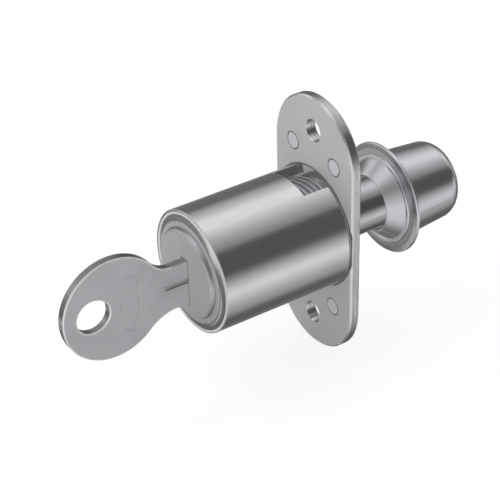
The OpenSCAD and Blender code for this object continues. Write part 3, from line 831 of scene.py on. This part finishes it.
def bevelled(piece, radius, edges, strip=-1):
    """Rounds the edges that a mask over the piece's edges gives; strip numbers their material."""
    weights = piece.data.attributes.new("bevel_weight_edge", "FLOAT", "EDGE")
    weights.data.foreach_set("value", edges.astype(np.float32))
    bevel = piece.modifiers.new("Rounded edges", "BEVEL")
    bevel.width = radius
    bevel.segments = 3
    bevel.limit_method = "WEIGHT"
    bevel.use_clamp_overlap = False
    bevel.harden_normals = True
    bevel.material = strip


def wound_wire(radius, wire, turns, length, per_turn, around):
    """Points and quads of a coil spring along +Z from z = 0 to its length.

    The wire's middle line is a helix: it goes round at the given radius while it rises in
    proportion to the angle. A circle of the wire's radius is carried along it, square to the
    helix's slope, and shrinks almost to a point over a short round cap at both ends, which a
    few quads across the last circle close.
    """
    wire_r = wire / 2
    rise = (length - wire) / (2 * math.pi * turns)
    slope = math.hypot(radius, rise)
    cap_rings, tip_share = 5, 0.02
    cap = np.linspace(0, math.pi / 2, cap_rings)
    body = np.linspace(0, 2 * math.pi * turns, int(turns * per_turn) + 1)
    back = -np.cos(cap) * wire_r / slope
    angle = np.concatenate([back, body[1:-1], body[-1] - back[::-1]]) + wire_r / slope
    angle = angle * (body[-1] / (body[-1] + 2 * wire_r / slope))
    scale = np.concatenate([np.sin(cap), np.ones(len(body) - 2), np.sin(cap)[::-1]])
    scale = np.maximum(scale, tip_share) * wire_r
    radial = np.stack([np.cos(angle), np.sin(angle), np.zeros_like(angle)], -1)
    across = np.stack([np.sin(angle) * rise, -np.cos(angle) * rise,
                       np.full_like(angle, radius)], -1) / slope
    centre = radial * radius
    centre[:, 2] = wire_r + rise * np.clip(angle, 0, body[-1])
    t = np.linspace(0, 2 * math.pi, around, endpoint=False)[None, :, None]
    circle = np.cos(t) * radial[:, None] + np.sin(t) * across[:, None]
    points = centre[:, None] + scale[:, None, None] * circle
    rows = len(angle)
    ring = np.arange(around // 2 - 1)
    first = np.stack([around - 1 - ring, around - 2 - ring, ring + 1, ring], -1)
    last = np.stack([ring, ring + 1, around - 2 - ring, around - 1 - ring], -1)
    faces = np.concatenate([grid_faces(rows, around), first, last + (rows - 1) * around])
    return points.reshape(-1, 3), faces


def filling_coil(node, axis, wire, turns, per_turn, around=16):
    """Coil as wide as a spring of the frame, and as long as that is along one axis."""
    low, high = node_box(node)
    radius = (high[0] - low[0]) / 2 - wire / 2
    return wound_wire(radius, wire, turns, high[axis] - low[axis], per_turn, around)


# Operators


class LOCK_OT_housing(bpy.types.Operator):
    """Housing with the barrel's rounded rim, and its back plate, rivets and guide pin."""

    bl_idname = "lock.dress_housing"
    bl_label = "Dress housing"

    def execute(self, context):
        """Makes the rim a broad, low cone with a rounded edge, then assigns the fixed metals.

        The rim's outer edge is the ring of points as far out as the barrel and furthest forward.
        Its inner edge is the ring next to the bore, which moves in almost to the bore's own edge.
        """
        piece = merged_copy("housing", "plated_housing", housing_metal())
        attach(piece, "housing")
        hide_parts("housing")
        mesh = piece.data
        points = mesh_points(mesh)
        away = np.hypot(points[:, 0], points[:, 2])
        front = float(points[:, 1].min())
        touch, rim_depth, mouth_gap = 0.03 * MM, 1.2 * MM, 0.08 * MM
        outer = (away > BARREL_R - touch) & (points[:, 1] < front + rim_depth)
        inner = (away > BORE_R + 0.2 * MM) & (points[:, 1] < front + touch) & ~outer
        points[outer, 1] = front + RIM_SLOPE
        shrunk = (BORE_R + mouth_gap) / away[inner, None]
        points[inner] *= np.where([True, False, True], shrunk, 1)
        mesh.vertices.foreach_set("co", points.ravel())
        mesh.update()
        bevelled(piece, context.scene.lock_finishes.rim_round, outer[edge_ends(mesh)].all(1))
        dress(["back_plate"], plate_steel())
        dress(["flange_rivets"], rivet_steel())
        dress(["guide_pin"], dull_steel())
        return {"FINISHED"}


class LOCK_OT_return_spring(bpy.types.Operator):
    """Return spring wound from round wire."""

    bl_idname = "lock.wind_return_spring"
    bl_label = "Wind return spring"

    def execute(self, context):
        """Winds the spring between the cylinder's rear and the back plate."""
        sizes = context.scene.lock_springs
        low, high = node_box("return_spring")
        points, faces = filling_coil("return_spring", 1, sizes.return_wire, sizes.return_turns, 96)
        placed = np.stack([points[:, 0], points[:, 2] + low[1], -points[:, 1]], -1)
        piece = surface_object("return_spring_wire", placed, faces, drawn_wire())
        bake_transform(piece)
        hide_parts("return_spring")
        return {"FINISHED"}


class LOCK_OT_cylinder(bpy.types.Operator):
    """Finishes of the sliding cylinder and the plunger with its pin."""

    bl_idname = "lock.dress_cylinder"
    bl_label = "Dress cylinder and plunger"

    def execute(self, context):
        """Assigns the metals of the sliding parts."""
        dress(["cylinder_sleeve"], sleeve_nickel())
        dress(["plunger"], polished_nickel())
        dress(["plunger_pin"], dull_steel())
        return {"FINISHED"}


class LOCK_OT_plug(bpy.types.Operator):
    """Finishes of the plug, its clip and cam pin."""

    bl_idname = "lock.dress_plug"
    bl_label = "Dress plug"

    def execute(self, context):
        """Assigns the metals of the turning parts."""
        dress(["plug"], satin_nickel())
        dress(["plug_clip", "cam_pin"], dull_steel())
        return {"FINISHED"}


class LOCK_OT_latch(bpy.types.Operator):
    """Latch dog's finish and its wound spring."""

    bl_idname = "lock.dress_latch"
    bl_label = "Dress latch"

    def execute(self, context):
        """Winds the dog's spring between the cylinder's wall and the dog."""
        dress(["latch_dog"], dull_steel())
        sizes = context.scene.lock_springs
        low, high = node_box("dog_spring")
        x, y = (low + high)[:2] / 2
        points, faces = filling_coil("dog_spring", 2, sizes.dog_wire, sizes.dog_turns, 32, 12)
        piece = surface_object("dog_spring_wire", points + [x, y, low[2]], faces, drawn_wire())
        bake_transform(piece)
        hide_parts("dog_spring")
        return {"FINISHED"}


class LOCK_OT_wafers(bpy.types.Operator):
    """Brass wafers and their small springs."""

    bl_idname = "lock.dress_wafers"
    bl_label = "Dress wafers"

    def execute(self, context):
        """Winds one spring above the lug of each wafer."""
        names = sorted(name for name in NODES if name.startswith("wafer_"))
        names.remove("wafer_springs")
        dress(names, stamped_brass())
        sizes = context.scene.lock_springs
        low, high = node_box("wafer_springs")
        points, faces = filling_coil("wafer_springs", 2, sizes.wafer_wire, sizes.wafer_turns,
                                     28, 10)
        x = (low[0] + high[0]) / 2
        seats = np.array([[x, sum(node_box(name))[1] / 2, low[2]] for name in names])
        placed = (seats[:, None] + points[None]).reshape(-1, 3)
        shifts = np.arange(len(names))[:, None, None] * len(points)
        all_faces = (faces[None] + shifts).reshape(-1, 4)
        piece = surface_object("wafer_spring_wires", placed, all_faces, drawn_wire())
        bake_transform(piece)
        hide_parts("wafer_springs")
        return {"FINISHED"}


class LOCK_OT_key(bpy.types.Operator):
    """Flat key with edges rounded by tumbling."""

    bl_idname = "lock.dress_key"
    bl_label = "Dress key"

    def execute(self, context):
        """Merges a copy of the key's mesh and rounds its outline and the ring's hole.

        Their edges lie in one of the key's two faces and end where others cross its whole
        thickness. The part inside the plug stays as the frame has it.
        """
        piece = merged_copy("key", "tumbled_key", key_nickel())
        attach(piece, "key")
        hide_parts("key")
        mesh = piece.data
        points = mesh_points(mesh)
        low, high = node_box("key")
        touch = 0.01 * MM
        left = np.abs(points[:, 0] - low[0]) < touch
        right = np.abs(points[:, 0] - high[0]) < touch
        ends = edge_ends(mesh)
        crossing = left[ends].any(1) & right[ends].any(1)
        outline = np.zeros(len(points), bool)
        outline[ends[crossing].ravel()] = True
        outline &= points[:, 1] < PLUG_FACE - 0.2 * MM
        sharp = np.empty(len(mesh.edges), bool)
        mesh.attributes["sharp_edge"].data.foreach_get("value", sharp)
        # The rounded outline's strip gets the light edge metal: wear and a painted highlight
        mesh.materials.append(edge_highlight_nickel())
        bevelled(piece, context.scene.lock_finishes.key_round,
                 sharp & outline[ends].all(1) & ~crossing, strip=1)
        return {"FINISHED"}


class LOCK_OT_strike(bpy.types.Operator):
    """Finishes of the strike cup and its guide cone."""

    bl_idname = "lock.dress_strike"
    bl_label = "Dress strike"

    def execute(self, context):
        """Assigns the pressed nickel of the strike."""
        dress(["strike_cup", "strike_guide"], pressed_nickel())
        return {"FINISHED"}


# Studio

# The light tent's brightness by the angle round the lock's axis, in degrees from +X towards +Z:
# as the flange's side of the tent has it, and as the key's side has it
SIDE_BANDS = [
    (-180, 0.19), (-164, 0.22), (-158, 0.36), (-142, 0.5), (-130, 0.34), (-122, 0.2),
    (-105, 0.16), (-90, 0.13), (-78, 0.2), (-70, 0.4), (-54, 0.56), (-38, 0.85),
    (-26, 1.05), (-14, 0.78), (-4, 0.5), (4, 0.26), (10, 0.12), (48, 0.12),
    (55, 0.34), (70, 0.55), (84, 0.8), (98, 1.12), (114, 1.15), (130, 0.75),
    (146, 0.44), (154, 0.19), (180, 0.19)]
FRONT_BANDS = [
    (-180, 0.5), (-166, 0.45), (-156, 0.25), (-151.5, 0.15), (-147.5, 1.1), (-142, 1.15),
    (-139, 0.19), (-127, 0.17), (-120, 0.9), (-104, 0.9), (-96, 0.2), (-84, 0.3), (-62, 0.8),
    (-45, 1.0), (-10, 1.0), (20, 0.65), (50, 0.35), (75, 0.45), (98, 1.0), (116, 1.1),
    (130, 0.8), (142, 0.5), (152, 1.1), (162, 0.95), (180, 0.5)]
# Brightness that white stands for in the bands, and where one set gives way to the other
BAND_WHITE = 1.2
BAND_BORDER = (-0.25, 0.1)

TENT_RADIUS = 1.5
FLOOR_RADIUS = 3.0
LAMP_SIZE = 0.5
LAMP_PLACE = (-0.2, -0.35, 0.7)

# Only these are mirrored by other pieces, so that the tent's bands run straight over the rest
MIRRORED = ("plunger", "return_spring_wire")


def band_ramp(tree, factor, bands):
    """Brightness output: the bands' levels by the turned factor, from 0 at -180 to 1 at 180."""
    ramp = put(tree, "ShaderNodeValToRGB", {0: factor})
    stops = ramp.color_ramp.elements
    for index, (angle, level) in enumerate(bands):
        place = (angle + 180) / 360
        stop = stops[index] if index < 2 else stops.new(place)
        stop.position = place
        stop.color = (level / BAND_WHITE,) * 3 + (1,)
    return ramp.outputs[0]


def light_tent():
    """Sphere around the lock that only reflections see, as a product photographer's light tent.

    The points of the surface are the radius times the direction of two angles: one round the
    lock's axis and one away from it. The brightness follows the first.
    """
    columns, rows, pole = 96, 49, 0.001
    turn = np.linspace(0, 2 * math.pi, columns, endpoint=False)
    tilt = np.linspace(pole, math.pi - pole, rows)[:, None]
    points = np.stack([np.sin(tilt) * np.cos(turn), -np.cos(tilt) + 0 * turn,
                       np.sin(tilt) * np.sin(turn)], -1) * TENT_RADIUS
    material = bpy.data.materials.new("Light tent")
    tree = bare_tree(material)
    place = put(tree, "ShaderNodeTexCoord").outputs["Object"]
    x, y, z = put(tree, "ShaderNodeSeparateXYZ", {0: place}).outputs
    factor = with_share(tree, 0.5, calc(tree, "ARCTAN2", z, x), 1 / (2 * math.pi))
    side = stepped(tree, y, *(share * TENT_RADIUS for share in BAND_BORDER))
    mixed = blended_color(tree, side, band_ramp(tree, factor, FRONT_BANDS),
                          band_ramp(tree, factor, SIDE_BANDS))
    glow = put(tree, "ShaderNodeEmission", {"Color": mixed, "Strength": BAND_WHITE})
    put(tree, "ShaderNodeOutputMaterial", {"Surface": glow.outputs[0]})
    material.cycles.emission_sampling = "NONE"
    tent = surface_object("light_tent", points.reshape(-1, 3), grid_faces(rows, columns), material)
    tent.visible_camera = False
    tent.visible_diffuse = False
    tent.visible_shadow = False
    tent.visible_volume_scatter = False


def studio_floor(height, settings):
    """Round floor, as rings of points; the camera sees it lifted to white, with a faint shadow."""
    columns, centre = 64, 0.000001
    turn = np.linspace(0, 2 * math.pi, columns, endpoint=False)
    rings = np.array([centre, 0.1, 0.3, 1.0])[:, None] * FLOOR_RADIUS
    points = np.stack(np.broadcast_arrays(rings * np.cos(turn), rings * np.sin(turn), height), -1)
    material = bpy.data.materials.new("Pale floor")
    tree = bare_tree(material)
    plain = put(tree, "ShaderNodeBsdfPrincipled", {
        "Base Color": settings.floor_color, "Roughness": 0.6, "Specular IOR Level": 0.2})
    white = put(tree, "ShaderNodeEmission", {"Color": (1, 1, 1, 1), "Strength": 1.0})
    seen = put(tree, "ShaderNodeLightPath").outputs["Is Camera Ray"]
    mix = put(tree, "ShaderNodeMixShader", {
        0: product(tree, seen, settings.shadow_lift), 1: plain.outputs[0], 2: white.outputs[0]})
    put(tree, "ShaderNodeOutputMaterial", {"Surface": mix.outputs[0]})
    floor = surface_object("floor", points.reshape(-1, 3), grid_faces(len(rings), columns),
                           material)
    floor.visible_glossy = False


def studio_world(settings):
    """Even white surroundings, which light the floor and fill the picture behind it."""
    world = bpy.data.worlds.new("White room")
    tree = bare_tree(world)
    back = put(tree, "ShaderNodeBackground", {
        "Color": (1, 1, 1, 1), "Strength": settings.room_light})
    put(tree, "ShaderNodeOutputWorld", {"Surface": back.outputs[0]})
    world.cycles_visibility.glossy = False
    bpy.context.scene.world = world


def soft_lamp(power):
    """Large soft lamp above and left of the camera, for the floor's shadow."""
    data = bpy.data.lights.new("soft_lamp", "AREA")
    data.shape = "DISK"
    data.size = LAMP_SIZE
    data.energy = power
    lamp = linked_object("soft_lamp", data)
    lamp.location = LAMP_PLACE
    lamp.rotation_euler = (-lamp.location).to_track_quat("-Z", "Y").to_euler()
    lamp.visible_glossy = False


def studio_camera(settings):
    """Camera at the given angles, turned a little so that the aimed point lies off centre."""
    turn, rise, roll = settings.turn, settings.rise, settings.roll
    back = Vector((math.sin(turn) * math.cos(rise), -math.cos(turn) * math.cos(rise),
                   math.sin(rise)))
    right = Vector((math.cos(turn), math.sin(turn), 0))
    up = back.cross(right)
    right, up = (right * math.cos(roll) + up * math.sin(roll),
                 up * math.cos(roll) - right * math.sin(roll))
    place = Vector(settings.aim) + back * settings.distance
    axis = (back + right * settings.off_centre[0] + up * settings.off_centre[1]).normalized()
    across = (right - axis * right.dot(axis)).normalized()
    turned = Matrix((across, axis.cross(across), axis)).transposed()
    data = bpy.data.cameras.new("camera")
    data.lens = settings.lens
    data.sensor_width = 36
    data.clip_start = 0.01
    data.clip_end = 20
    camera = linked_object("camera", data)
    camera.matrix_world = Matrix.Translation(place) @ turned.to_4x4()
    bpy.context.scene.camera = camera


class LOCK_OT_studio(bpy.types.Operator):
    """Floor, light tent, lamp, world and camera."""

    bl_idname = "lock.set_studio"
    bl_label = "Set up studio"

    def execute(self, context):
        """Builds the stage around the lock, with the floor a hair below it."""
        settings = context.scene.lock_studio
        for piece in context.scene.objects:
            piece.visible_glossy = piece.name in MIRRORED
        studio_floor(CAD_BOX[0][2] - settings.floor_drop - 0.1 * MM, settings)
        light_tent()
        studio_world(settings)
        soft_lamp(settings.lamp_power)
        studio_camera(settings)
        context.scene.view_settings.view_transform = "Standard"
        return {"FINISHED"}


# Panel, registration and run

SETTINGS = [("lock_finishes", LockFinishes), ("lock_springs", LockSprings),
            ("lock_studio", LockStudio)]
STEPS = [LOCK_OT_housing, LOCK_OT_return_spring, LOCK_OT_cylinder, LOCK_OT_plug, LOCK_OT_latch,
         LOCK_OT_wafers, LOCK_OT_key, LOCK_OT_strike, LOCK_OT_studio]


class LOCK_PT_panel(bpy.types.Panel):
    """Sidebar panel with the steps and settings."""

    bl_label = "Door Lock"
    bl_idname = "LOCK_PT_panel"
    bl_space_type = "VIEW_3D"
    bl_region_type = "UI"
    bl_category = "Door Lock"

    def draw(self, context):
        """Lists the operators and the settings."""
        for step in STEPS:
            self.layout.operator(step.bl_idname)
        for name, kind in SETTINGS:
            column = self.layout.column(align=True)
            for setting in kind.__annotations__:
                column.prop(getattr(context.scene, name), setting)


def register():
    """Adds the settings, operators and panel."""
    for name, group in SETTINGS:
        bpy.utils.register_class(group)
        setattr(bpy.types.Scene, name, bpy.props.PointerProperty(type=group))
    for cls in STEPS + [LOCK_PT_panel]:
        bpy.utils.register_class(cls)


def unregister():
    """Removes them again."""
    for cls in reversed(STEPS + [LOCK_PT_panel]):
        bpy.utils.unregister_class(cls)
    for name, group in reversed(SETTINGS):
        delattr(bpy.types.Scene, name)
        bpy.utils.unregister_class(group)


def main():
    """Runs every step in order."""
    register()
    for step in STEPS:
        group, name = step.bl_idname.split(".")
        getattr(getattr(bpy.ops, group), name)()


if __name__ == "__main__":
    main()
